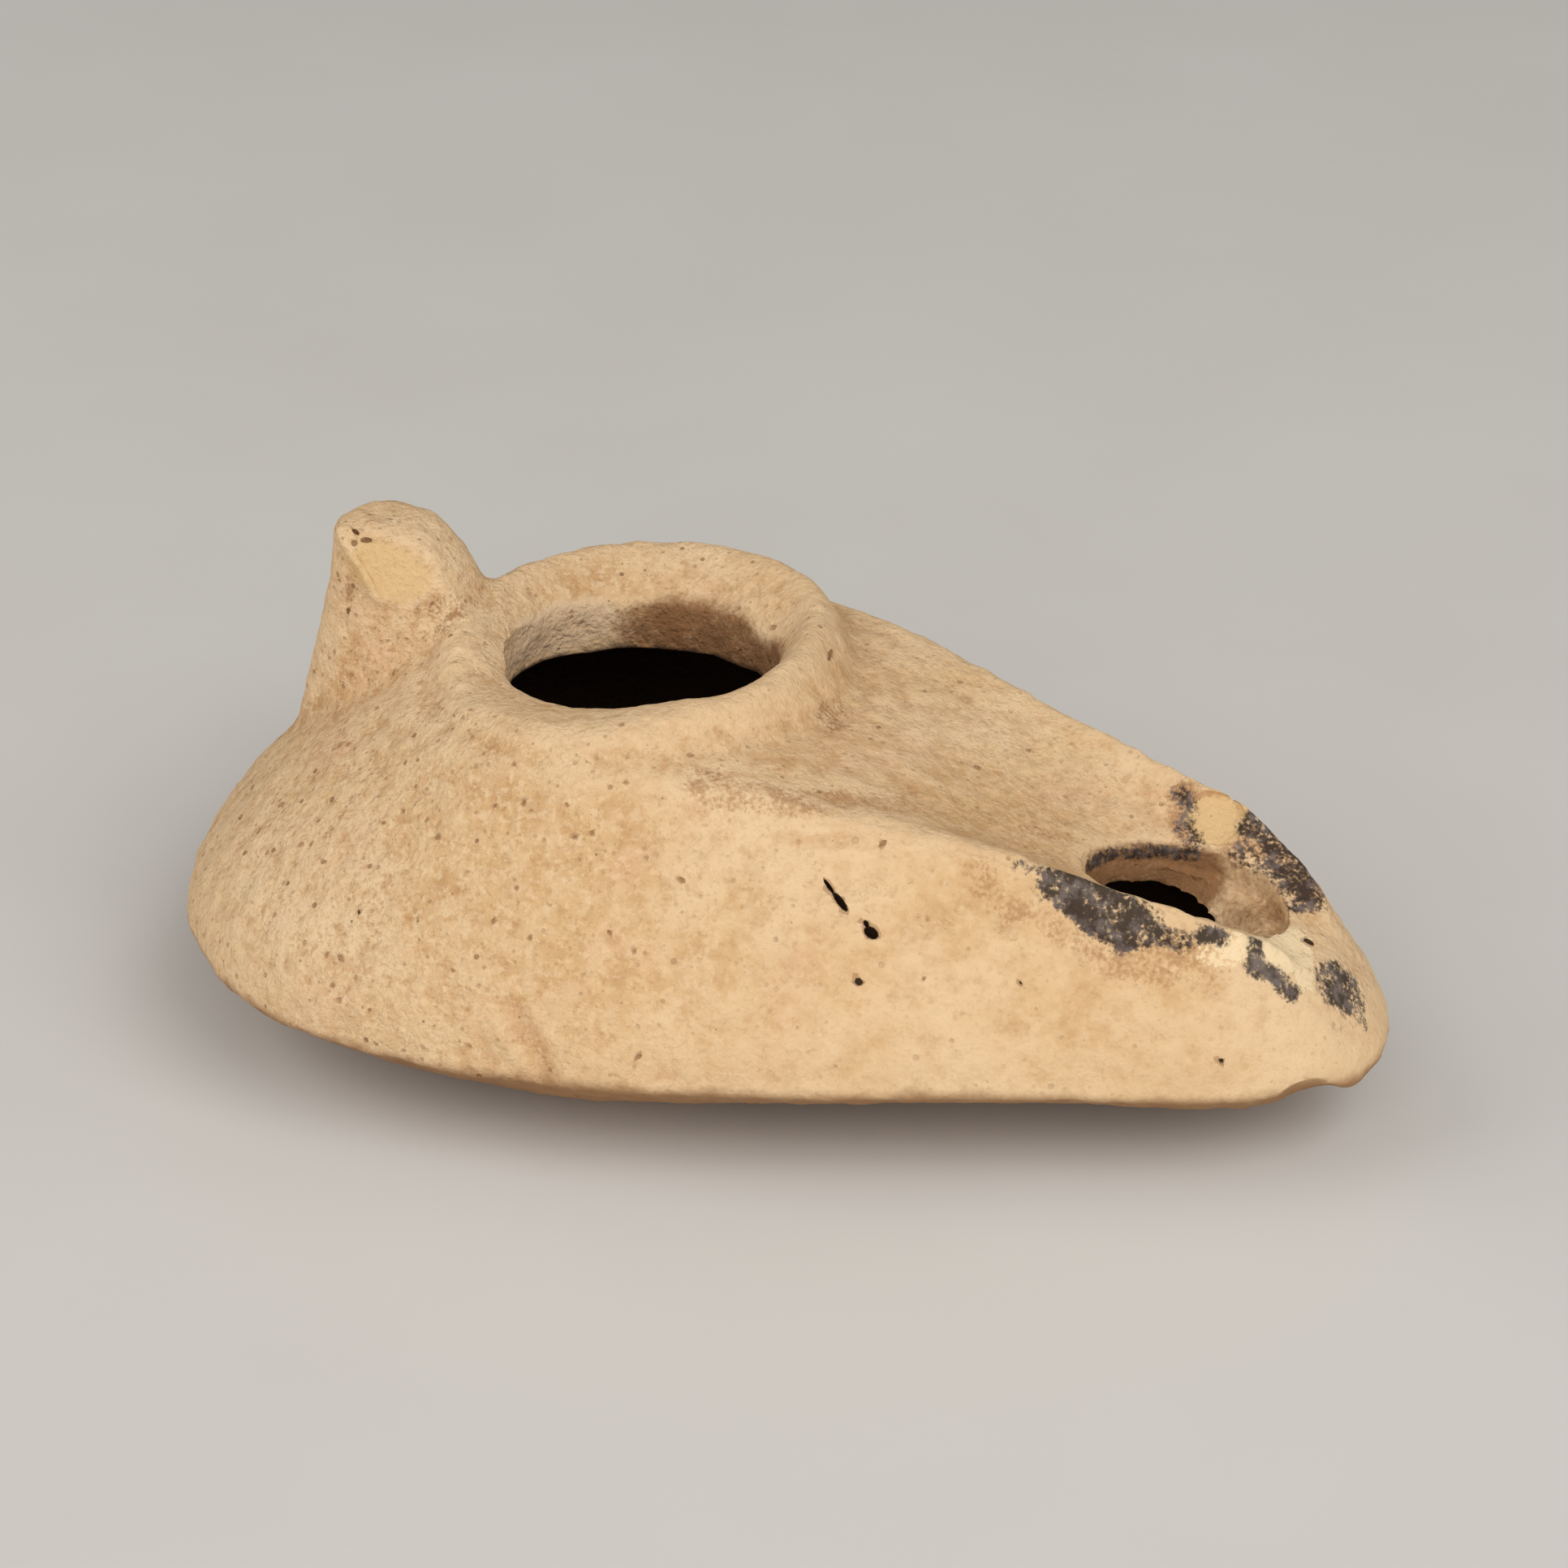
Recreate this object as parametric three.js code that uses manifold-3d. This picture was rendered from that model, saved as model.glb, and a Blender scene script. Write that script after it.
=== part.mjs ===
// A mould-made clay oil lamp of the late Roman "slipper" kind: an almond-shaped hollow bowl with a
// ringed filling hole, a shallow channel down to the wick hole in the nozzle, and a broken tongue
// handle. It is one fired piece. Millimetres, +Z up. The origin is the centre of the flat base, and
// the nozzle points along +X.
import * as THREE from "three";
import { mergeVertices } from "three/addons/utils/BufferGeometryUtils.js";
import Module from "manifold-3d";

const wasm = await Module();
wasm.setup();

const { lerp, clamp, smoothstep, degToRad } = THREE.MathUtils;

// ---- driving dimensions ----

// The widest outline of the bowl, along the seam where the two halves of the mould met
const SEAM = {
  back: -37.5,
  widest: -9,
  tip: 64.4,
  halfWidth: 32.4,
  backRoundness: 2.25, // exponent of the superellipse behind the widest point
  swellSpread: 1.1, // how far forward the bowl keeps its width
  nozzleShare: 0.41, // half-width of the nozzle, as a share of the bowl's
  bluntness: 9, // the higher, the blunter the tip of the nozzle
  height: [[-38, 10.4], [-22, 8.8], [0, 8.2], [40, 8.0], [64, 7.5]], // x and height above the stand
};

// The round foot under the bowl, flat below
const BASE = { radius: 19.2, edgeHeight: 1.4, edgeFlare: 1.0 };

// How the underside meets the seam: drawn in under the long sides, rounder at the back and the tip
const UNDERSIDE = { sideTuck: [2.6, 1.9], endTuck: [0.5, 3.5], bow: 0.55, sag: 0.25 };

// The raised ring round the filling hole; semi-axes lie along X and Y
const RING = {
  foot: [17.6, 18.6],
  crest: [14.9, 16.2],
  throat: [12, 10],
  crestHeight: 33.4,
  throatHeight: 30.3,
  crestWidth: 1.2, // the rounded top of the ring, to each side of its crest
  wornAngle: degToRad(-100), // direction in which the rim is most worn down
  wornDepth: 1.8,
};

// The line that parts the side wall from the top plate, a low ridge on each side of the nozzle
const RIDGE = {
  end: 59.6,
  rearHalfWidth: 18.4,
  noseHalfWidth: 10.9,
  taper: [0.02, 0.8], // where the plate starts and stops narrowing, as a share of its length
  bluntness: 5,
  height: [
    [-20, 29.2], [8, 29.6], [17, 29.1], [27, 27.2], [38, 25.3],
    [47, 22.9], [52, 21.1], [56, 19.2], [59.6, 15.8],
  ],
  channelDepth: [[16, 0], [26, 1.0], [36, 3.2], [44, 3.6], [52, 2.4], [60, 0.2]],
  channelRoundness: 2.5, // exponent of the channel's section
};

const WALL = { side: 3.8, floor: 3.6, roof: 3.8, ridgeInset: 1.5 };

// The wick hole, an oval burner hole sunk in the channel
const WICK = {
  centre: [47.8, -1.0],
  semiAxes: [7.9, 5.3],
  rimHeight: 19.6,
  rimFlare: 1.08,
  tilt: degToRad(2),
  turn: degToRad(13),
  depth: 12,
  sides: 40,
};

// The tongue handle: each row is height, middle of the section along X, and its semi-axes
const HANDLE = {
  rows: [
    [15, -23.0, 9.5, 8.5],
    [22, -22.0, 8.6, 7.0],
    [27, -21.6, 8.0, 5.8],
    [31.5, -21.3, 7.3, 5.1],
    [34.5, -21.6, 6.3, 4.8],
    [37, -22.1, 5.3, 4.4],
    [38.5, -22.6, 4.3, 3.7],
    [39.2, -22.9, 2.7, 2.2],
  ],
  squareness: 2.4, // exponent of the superellipse of its section
  sides: 36,
};

// A flake lost from the near face of the handle leaves a flat facet
const FLAKE = { point: [-19, -3.7, 35.5], azimuth: degToRad(-70), lift: degToRad(24), size: 30 };

// Columns of facets round the bowl, drawn together towards the nozzle
const OUTSIDE_COLUMNS = 84;
const INSIDE_COLUMNS = 60;
const NOZZLE_CROWDING = 0.6;
const PLATE_ROWS = 7;

// ---- curves ----

// A smooth curve through a few [x, value] points, level beyond both ends
function through(points) {
  const last = points.length - 1;
  const slope = (i) => {
    if (i === 0 || i === last) return 0;
    return (points[i + 1][1] - points[i - 1][1]) / (points[i + 1][0] - points[i - 1][0]);
  };
  return (x) => {
    if (x <= points[0][0]) return points[0][1];
    if (x >= points[last][0]) return points[last][1];
    const i = points.findIndex((point) => point[0] > x) - 1;
    const [start, from] = points[i];
    const [stop, to] = points[i + 1];
    const run = stop - start;
    const t = (x - start) / run;
    const leaving = slope(i) * run * t * (1 - t) ** 2;
    const arriving = slope(i + 1) * run * t * t * (t - 1);
    return lerp(from, to, t * t * (3 - 2 * t)) + leaving + arriving;
  };
}

function at([r, z]) {
  return new THREE.Vector2(r, z);
}

// Points along a cubic Bezier curve, without its first point
function bend(controls, steps) {
  return new THREE.CubicBezierCurve(...controls.map(at)).getPoints(steps).slice(1);
}

// Distance from the axis to an oval in one direction
function ovalReach([alongX, alongY], angle) {
  return 1 / Math.hypot(Math.cos(angle) / alongX, Math.sin(angle) / alongY);
}

// Distance from the axis, in one direction, to an outline given as a half-width for each x
function outlineReach(halfWidth, angle) {
  const halvings = 40;
  let inside = 0;
  let outside = SEAM.tip + 1;
  for (let step = 0; step < halvings; step++) {
    const middle = (inside + outside) / 2;
    if (middle * Math.abs(Math.sin(angle)) < halfWidth(middle * Math.cos(angle))) inside = middle;
    else outside = middle;
  }
  return inside;
}

// ---- outlines in plan, and heights ----

function seamHalfWidth(x) {
  if (x <= SEAM.back || x >= SEAM.tip) return 0;
  if (x < SEAM.widest) {
    const back = (SEAM.widest - x) / (SEAM.widest - SEAM.back);
    return SEAM.halfWidth * (1 - back ** SEAM.backRoundness) ** (1 / SEAM.backRoundness);
  }
  const forward = (x - SEAM.widest) / (SEAM.tip - SEAM.widest);
  const swell = 0.5 * (1 + Math.cos(Math.PI * forward ** SEAM.swellSpread));
  const tipRounding = Math.sqrt(1 - forward ** SEAM.bluntness);
  return SEAM.halfWidth * lerp(SEAM.nozzleShare, 1, swell) * tipRounding;
}

function ridgeHalfWidth(x) {
  if (x >= RIDGE.end) return 0;
  if (x < 0) return Math.sqrt(Math.max(0, RIDGE.rearHalfWidth ** 2 - x * x));
  const forward = x / RIDGE.end;
  const width = lerp(RIDGE.rearHalfWidth, RIDGE.noseHalfWidth, smoothstep(forward, ...RIDGE.taper));
  return width * Math.sqrt(1 - forward ** RIDGE.bluntness);
}

const seamHeight = through(SEAM.height);
const ridgeHeight = through(RIDGE.height);
const channelDepth = through(RIDGE.channelDepth);

// Height of the top plate, which sinks to a channel between the two ridges
function plateHeight(x, y) {
  const across = clamp(Math.abs(y) / Math.max(ridgeHalfWidth(x), 1), 0, 1);
  return ridgeHeight(x) - channelDepth(x) * (1 - across ** RIDGE.channelRoundness);
}

function crestHeight(angle) {
  const towardsWear = 0.5 * (1 + Math.cos(angle - RING.wornAngle));
  return RING.crestHeight - RING.wornDepth * towardsWear ** 3;
}

// ---- profiles, each in one direction from the axis ----

// From the middle of the base out to the seam
function underside(angle, seam, zSeam) {
  const { radius, edgeHeight, edgeFlare } = BASE;
  const edge = radius + edgeFlare;
  const towardsTip = smoothstep(seam, SEAM.tip - 15, SEAM.tip);
  const towardsBack = smoothstep(-Math.cos(angle), 0.4, 1);
  const round = Math.max(towardsTip, towardsBack);
  const tuck = [0, 1].map((axis) => lerp(UNDERSIDE.sideTuck[axis], UNDERSIDE.endTuck[axis], round));
  const middle = [lerp(edge, seam, UNDERSIDE.bow), lerp(edgeHeight, zSeam, UNDERSIDE.sag)];
  return [
    ...[[0, 0], [radius * 0.6, 0], [radius, 0]].map(at),
    ...bend([[radius, 0], [edge, 0], [edge, edgeHeight / 2], [edge, edgeHeight]], 2),
    ...bend([[edge, edgeHeight], middle, [seam - tuck[0], zSeam - tuck[1]], [seam, zSeam]], 5),
  ];
}

// From the seam up the side wall to the ridge
function sideWall(seam, zSeam, ridge, zRidge) {
  const rise = zRidge - zSeam;
  const belly = [seam + 0.2, zSeam + rise * 0.3];
  const shoulder = [lerp(ridge, seam, 0.42), zRidge - rise * 0.34];
  return bend([[seam, zSeam], belly, shoulder, [ridge, zRidge]], 8);
}

// From the ridge in to the foot of the ring
function plate(angle, ridge, foot) {
  return Array.from({ length: PLATE_ROWS }, (_, row) => {
    const r = lerp(ridge, foot, (row + 1) / PLATE_ROWS);
    return at([r, plateHeight(r * Math.cos(angle), r * Math.sin(angle))]);
  });
}

// From the foot of the ring over its crest and down the funnel, to a plug below the throat
function ring(foot, zFoot, crest, zCrest, throat) {
  const plug = RING.throatHeight - 1;
  const outer = [crest + RING.crestWidth, zCrest];
  const inner = [crest - RING.crestWidth, zCrest];
  return [
    ...bend([[foot, zFoot], [foot - 0.6, lerp(zFoot, zCrest, 0.6)], outer, [crest, zCrest]], 4),
    ...bend([[crest, zCrest], inner, [throat + 1.4, RING.throatHeight + 1.2], [throat - 1.2, plug]], 4),
    at([0, plug]),
  ];
}

function outsideProfile(angle) {
  const c = Math.cos(angle);
  const seam = outlineReach(seamHalfWidth, angle);
  const foot = ovalReach(RING.foot, angle);
  const ridge = Math.max(outlineReach(ridgeHalfWidth, angle), foot + 0.8);
  const zSeam = seamHeight(seam * c);
  const zFoot = plateHeight(foot * c, foot * Math.sin(angle));
  const crest = ovalReach(RING.crest, angle);
  return [
    ...underside(angle, seam, zSeam),
    ...sideWall(seam, zSeam, ridge, ridgeHeight(ridge * c)),
    ...plate(angle, ridge, foot),
    ...ring(foot, zFoot, crest, crestHeight(angle), ovalReach(RING.throat, angle)),
  ];
}

// The hollow, from the middle of the floor round the bowl, back under the roof and up the throat
function insideProfile(angle) {
  const c = Math.cos(angle);
  const s = Math.sin(angle);
  const floor = BASE.radius - 3;
  const seam = outlineReach(seamHalfWidth, angle) - WALL.side;
  const ridge = outlineReach(ridgeHalfWidth, angle) - WALL.ridgeInset;
  const throat = ovalReach(RING.throat, angle);
  const zSeam = seamHeight(seam * c) + 1;
  const zRoof = ridgeHeight(ridge * c) - WALL.roof - channelDepth(ridge * c);
  const zThroat = ridgeHeight(throat * c) - WALL.roof + 0.6;
  const zTop = RING.crestHeight + 2;
  const cheek = [seam, lerp(zSeam, zRoof, 0.35)];
  const haunch = [lerp(ridge, seam, 0.4), lerp(zSeam, zRoof, 0.72)];
  const bilge = [lerp(floor, seam, 0.6), WALL.floor + 0.6];
  return [
    ...[[0, WALL.floor], [floor * 0.6, WALL.floor], [floor, WALL.floor]].map(at),
    ...bend([[floor, WALL.floor], bilge, [seam, zSeam - 2.6], [seam, zSeam]], 4),
    ...bend([[seam, zSeam], cheek, haunch, [ridge, zRoof]], 5),
    ...[0.25, 0.5, 0.75, 1].map((inwards) => {
      const r = lerp(ridge, throat, inwards);
      const roof = lerp(zRoof, zThroat, inwards ** 0.6);
      return at([r, Math.min(plateHeight(r * c, r * s) - WALL.roof, roof)]);
    }),
    ...[[throat, zTop], [0, zTop]].map(at),
  ];
}

// ---- shapes ----

// A closed surface that takes its own profile in each direction
function spun(profile, columns) {
  const rows = profile(0).length;
  const geometry = new THREE.LatheGeometry(profile(0), columns);
  const position = geometry.getAttribute("position");
  for (let column = 0; column <= columns; column++) {
    const turn = ((column % columns) / columns) * 2 * Math.PI;
    const angle = turn - NOZZLE_CROWDING * Math.sin(turn);
    profile(angle).forEach((point, row) => {
      const x = point.x * Math.cos(angle);
      const y = point.x * Math.sin(angle);
      position.setXYZ(column * rows + row, x, y, point.y);
    });
  }
  return geometry;
}

function superellipse(angle, squareness) {
  return [Math.cos(angle), Math.sin(angle)].map((v) => Math.sign(v) * Math.abs(v) ** (2 / squareness));
}

// A cylinder whose rings of corners are moved and stretched to the rows of the handle
function handleGeometry() {
  const { rows, sides, squareness } = HANDLE;
  const geometry = new THREE.CylinderGeometry(1, 1, 1, sides, rows.length - 1);
  const position = geometry.getAttribute("position");
  for (let i = 0; i < position.count; i++) {
    const [px, py, pz] = [position.getX(i), position.getY(i), position.getZ(i)];
    const [z, middle, halfLength, halfWidth] = rows[Math.round((py + 0.5) * (rows.length - 1))];
    const onAxis = Math.hypot(px, pz) < 0.5;
    const side = Math.round((Math.atan2(px, pz) / (2 * Math.PI)) * sides + sides) % sides;
    const [u, v] = onAxis ? [0, 0] : superellipse((side / sides) * 2 * Math.PI, squareness);
    position.setXYZ(i, middle + halfLength * u, halfWidth * v, z);
  }
  return geometry;
}

// Above the rim the wick hole widens, so that its edge is a soft bevel
function wickGeometry() {
  const { centre, semiAxes, rimHeight, rimFlare, tilt, turn, depth, sides } = WICK;
  const clearance = 8;
  const profile = [
    [0, -depth], [1, -depth], [1, -1.6], [1.03, -0.4], [rimFlare, 1], [rimFlare * 1.25, clearance],
    [0, clearance],
  ];
  return new THREE.LatheGeometry(profile.map(at), sides)
    .rotateX(Math.PI / 2)
    .scale(semiAxes[0], semiAxes[1], 1)
    .rotateY(tilt)
    .rotateZ(turn)
    .translate(...centre, rimHeight);
}

function flakeGeometry() {
  const { point, azimuth, lift, size } = FLAKE;
  return new THREE.BoxGeometry(size, size, size)
    .translate(size / 2, 0, 0)
    .rotateY(-lift)
    .rotateZ(azimuth)
    .translate(...point);
}

// ---- solids ----

function solid(geometry) {
  geometry.deleteAttribute("normal");
  geometry.deleteAttribute("uv");
  const merged = mergeVertices(geometry);
  return new wasm.Manifold(new wasm.Mesh({
    numProp: 3,
    vertProperties: merged.attributes.position.array,
    triVerts: new Uint32Array(merged.index.array),
  }));
}

function toGeometry(manifold) {
  const { vertProperties, triVerts } = manifold.getMesh();
  return new THREE.BufferGeometry()
    .setAttribute("position", new THREE.BufferAttribute(vertProperties, 3))
    .setIndex(new THREE.BufferAttribute(triVerts, 1));
}

const handle = solid(handleGeometry()).subtract(solid(flakeGeometry()));
const body = solid(spun(outsideProfile, OUTSIDE_COLUMNS))
  .add(handle)
  .subtract(solid(spun(insideProfile, INSIDE_COLUMNS)))
  .subtract(solid(wickGeometry()));

const firedClay = new THREE.MeshStandardMaterial({ color: 0xdcbd92, roughness: 0.9, metalness: 0 });
const lamp = new THREE.Mesh(toGeometry(body), firedClay);
lamp.name = "lamp";

const group = new THREE.Group();
group.add(lamp);

export default group;
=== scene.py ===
import logging
import math
import random
from dataclasses import dataclass, field
from enum import Enum

import bpy
import numpy as np
from mathutils import Euler, Matrix, Vector
from mathutils import noise as clouds


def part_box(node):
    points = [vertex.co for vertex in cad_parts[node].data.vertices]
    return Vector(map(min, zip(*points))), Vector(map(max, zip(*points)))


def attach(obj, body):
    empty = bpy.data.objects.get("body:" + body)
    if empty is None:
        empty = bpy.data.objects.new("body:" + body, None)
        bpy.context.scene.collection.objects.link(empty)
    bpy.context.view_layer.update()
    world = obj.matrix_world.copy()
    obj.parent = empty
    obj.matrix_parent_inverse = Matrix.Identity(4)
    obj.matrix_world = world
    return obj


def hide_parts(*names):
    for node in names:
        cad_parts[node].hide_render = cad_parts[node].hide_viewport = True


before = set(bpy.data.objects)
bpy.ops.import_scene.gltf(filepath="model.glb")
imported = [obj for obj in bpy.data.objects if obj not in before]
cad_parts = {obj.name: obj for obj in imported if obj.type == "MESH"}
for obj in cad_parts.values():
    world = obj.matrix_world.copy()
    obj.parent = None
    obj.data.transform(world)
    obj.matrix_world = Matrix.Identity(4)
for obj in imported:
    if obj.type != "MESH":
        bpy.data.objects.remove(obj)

log = logging.getLogger("oil_lamp")

Place = tuple[float, float, float]
Colour = tuple[float, float, float, float]

MM = 0.001
CLOUD_SHIFT = (3.7, 1.1, 2.3)  # in clouds, so that patterns of different sizes don't line up
HOLE_REACH = 1.06  # a little over one, so that the walls of a hole count as in it
SCAR_GAIN = 4  # strength of the cloudy pattern on a scar, for a roughness of one
WALL_GAIN = 3  # the same for the wall of an opening that is wavy by one


# ---- small helpers ----


def deselect() -> None:
    """Leaves edit mode and deselects everything."""
    if bpy.context.object and bpy.context.object.mode != "OBJECT":
        bpy.ops.object.mode_set(mode="OBJECT")
    bpy.ops.object.select_all(action="DESELECT")


def pick(obj: bpy.types.Object) -> None:
    """Makes one object the only selected and active one.

    Args:
        obj: The object to pick.
    """
    deselect()
    obj.select_set(True)
    bpy.context.view_layer.objects.active = obj


def metres(place: Place) -> Vector:
    """Turns a place in millimetres into metres."""
    return Vector(place) * MM


def finish_modifier(obj: bpy.types.Object, kind: str, **settings: object) -> None:
    """Adds a modifier with the given settings and applies it.

    Args:
        obj: The piece to work on.
        kind: Blender's name for the modifier.
        settings: Its properties.
    """
    pick(obj)
    modifier = obj.modifiers.new(kind.lower(), kind)
    for name, value in settings.items():
        setattr(modifier, name, value)
    bpy.ops.object.modifier_apply(modifier=modifier.name)


def remesh(obj: bpy.types.Object, spacing: float) -> None:
    """Gives a piece an even mesh, with the spacing in millimetres."""
    finish_modifier(obj, "REMESH", mode="VOXEL", voxel_size=spacing * MM, adaptivity=0)


def roughen(
    obj: bpy.types.Object, name: str, size: float, strength: float,
    layers: int = 3, still: float = 0.5,
) -> None:
    """Makes a surface uneven with a cloudy pattern.

    Args:
        obj: The piece to work on.
        name: The pattern's name.
        size: The size of its clouds, in millimetres.
        strength: The distance from its lowest to its highest level, in metres.
        layers: How many finer layers of clouds it has.
        still: The level that leaves the surface where it is.
    """
    texture = bpy.data.textures.new(name, "CLOUDS")
    texture.noise_scale = size * MM
    texture.noise_depth = layers
    finish_modifier(
        obj, "DISPLACE", texture=texture, strength=strength, mid_level=still,
        texture_coords="LOCAL",
    )


def read_points(obj: bpy.types.Object, name: str = "co") -> np.ndarray:
    """Reads a vector of every vertex.

    Args:
        obj: The piece to read.
        name: "co" for places or "normal" for normals.

    Returns:
        One row of three numbers for each vertex.
    """
    values = np.empty(len(obj.data.vertices) * 3)
    obj.data.vertices.foreach_get(name, values)
    return values.reshape(-1, 3)


def write_points(obj: bpy.types.Object, points: np.ndarray) -> None:
    """Moves every vertex to its row of points."""
    obj.data.vertices.foreach_set("co", points.ravel())
    obj.data.update()


def bell(away: np.ndarray) -> np.ndarray:
    """Falls softly from one at no distance to nearly nought at three."""
    return np.exp(-0.5 * away**2)


def ramp(values: np.ndarray, start: float, run: float) -> np.ndarray:
    """Rises evenly from nought at the start to one where the run ends."""
    return np.clip((values - start) / run, 0, 1)


def off_line(points: np.ndarray, line: tuple[Place, ...]) -> np.ndarray:
    """Measures how far points lie from a line of places.

    Args:
        points: Places in millimetres.
        line: The places that the line joins, in order.

    Returns:
        One distance for each point.
    """
    nearest = np.full(len(points), np.inf)
    for start, stop in zip(line, line[1:]):
        start, run = np.array(start), np.array(stop) - np.array(start)
        along = np.clip(((points - start) @ run) / (run @ run), 0, 1)
        away = points - start - along[:, None] * run
        nearest = np.minimum(nearest, (away**2).sum(axis=1))
    return np.sqrt(nearest)


def srgb(red: int, green: int, blue: int) -> Colour:
    """Turns a colour of 0 to 255 into the linear colour that a shader takes.

    Args:
        red: Red part.
        green: Green part.
        blue: Blue part.

    Returns:
        Linear red, green, blue and an alpha of one.
    """
    parts = [part / 255 for part in (red, green, blue)]
    linear = [p / 12.92 if p <= 0.04045 else ((p + 0.055) / 1.055) ** 2.4 for p in parts]
    return (*linear, 1.0)


# ---- marks on the clay ----


class Trait(Enum):
    """What the form of the surface is like; the value names its attribute on the mesh."""

    INSIDE = "inside"
    HOLLOW = "hollow"
    RAISED = "raised"
    # painted shade below the near seam
    BELOW = "below"
    ROUGH = "rough"
    PIT_AND_SHADE = "pit_and_shade"


class Mark(Enum):
    """What a patch of the surface has on it; the value names its attribute on the mesh."""

    SOOT = "soot"
    STAIN = "stain"
    DIRT = "dirt"
    FILM = "film"
    PALE = "pale"
    FRESH = "fresh"
    # fuel stain together with painted shadow
    OIL_AND_SHADOW = "oil_and_shadow"
    WIPED = "wiped"


@dataclass(frozen=True)
class Patch:
    """An oval patch of one mark: its middle and its reach along X, Y and Z, in millimetres.

    With a core of one it fades all the way from the middle; a higher one keeps an even middle.
    """

    mark: Mark
    middle: Place
    reach: Place
    strength: float = 1.0
    core: float = 1.8

    def share(self, points: np.ndarray) -> np.ndarray:
        """Says how strong the mark is at each point.

        Args:
            points: Places in millimetres.

        Returns:
            The strength in the middle, falling to nought at the reach.
        """
        away = (points - np.array(self.middle)) / np.array(self.reach)
        return self.strength * np.clip(self.core * (1 - (away**2).sum(axis=1)), 0, 1)


@dataclass(frozen=True)
class Streak:
    """A band of one mark along a line of places, with its reach to either side, in millimetres.

    Its core works as a patch's does.
    """

    mark: Mark
    line: tuple[Place, ...]
    reach: float
    strength: float = 1.0
    core: float = 1.2

    def share(self, points: np.ndarray) -> np.ndarray:
        """Says how strong the mark is at each point.

        Args:
            points: Places in millimetres.

        Returns:
            The strength along the line, falling to nought at the reach.
        """
        away = off_line(points, self.line) / self.reach
        return self.strength * np.clip(self.core * (1 - away**2), 0, 1)


@dataclass(frozen=True)
class Push:
    """A soft push or pull of the surface: its middle, reach and move, in millimetres."""

    middle: Place
    reach: Place
    move: Place

    def shift(self, points: np.ndarray) -> np.ndarray:
        """Works out how far each point moves.

        Args:
            points: Places in millimetres.

        Returns:
            One move for each point.
        """
        away = (points - np.array(self.middle)) / np.array(self.reach)
        weight = np.exp(-0.5 * (away**2).sum(axis=1))
        return weight[:, None] * np.array(self.move)


@dataclass(frozen=True)
class Bead:
    """A narrow ridge along a line of places, in millimetres; a groove if its height is negative."""

    line: tuple[Place, ...]
    width: float
    height: float

    def shift(self, points: np.ndarray, normals: np.ndarray) -> np.ndarray:
        """Works out how far each point moves along its normal.

        Args:
            points: Places in millimetres.
            normals: The surface's directions there.

        Returns:
            One move for each point.
        """
        away = off_line(points, self.line) / self.width
        return normals * (self.height * bell(away))[:, None]


@dataclass(frozen=True)
class Gouge:
    """A small hole cut with a stretched ball, in millimetres.

    Its half-lengths are given along its length, across it and into the wall. The shade says how
    dark its inside is painted, as shade: one for a deep hole, less for a shallow one.
    """

    middle: Place
    half: Place
    along: Place = (1, 0, -0.6)
    facing: Place = (0.33, -0.76, 0.56)
    shade: float = 1.0

    def turn(self) -> Matrix:
        """Works out how the ball is turned.

        Returns:
            A turn that takes X along the hole and Z out of the wall.
        """
        out = Vector(self.facing).normalized()
        across = out.cross(Vector(self.along)).normalized()
        return Matrix((across.cross(out), across, out)).transposed()

    def holds(self, points: np.ndarray) -> np.ndarray:
        """Tells which points lie in the hole or on its walls.

        Args:
            points: Places in millimetres.

        Returns:
            True for each point that does.
        """
        local = (points - np.array(self.middle)) @ np.array(self.turn())
        return ((local / np.array(self.half)) ** 2).sum(axis=1) < HOLE_REACH


@dataclass(frozen=True)
class Bore:
    """An oval opening with a worn, slightly wavy wall, in millimetres and degrees."""

    middle: Place
    half: tuple[float, float]
    depth: float
    turn: float = 0.0
    tilt: float = 0.0
    wavy: float = 0.25


@dataclass(frozen=True)
class Flake:
    """A flat scar that a flake left: a point on it, the way it faces and its outline.

    The outline is given to the right of the point and above it, as seen by someone who faces
    the scar, in millimetres.
    """

    point: Place
    facing: Place
    outline: tuple[tuple[float, float], ...]
    rough: float = 0.12
    thickness: float = 4.0


# ---- the finish ----


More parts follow.
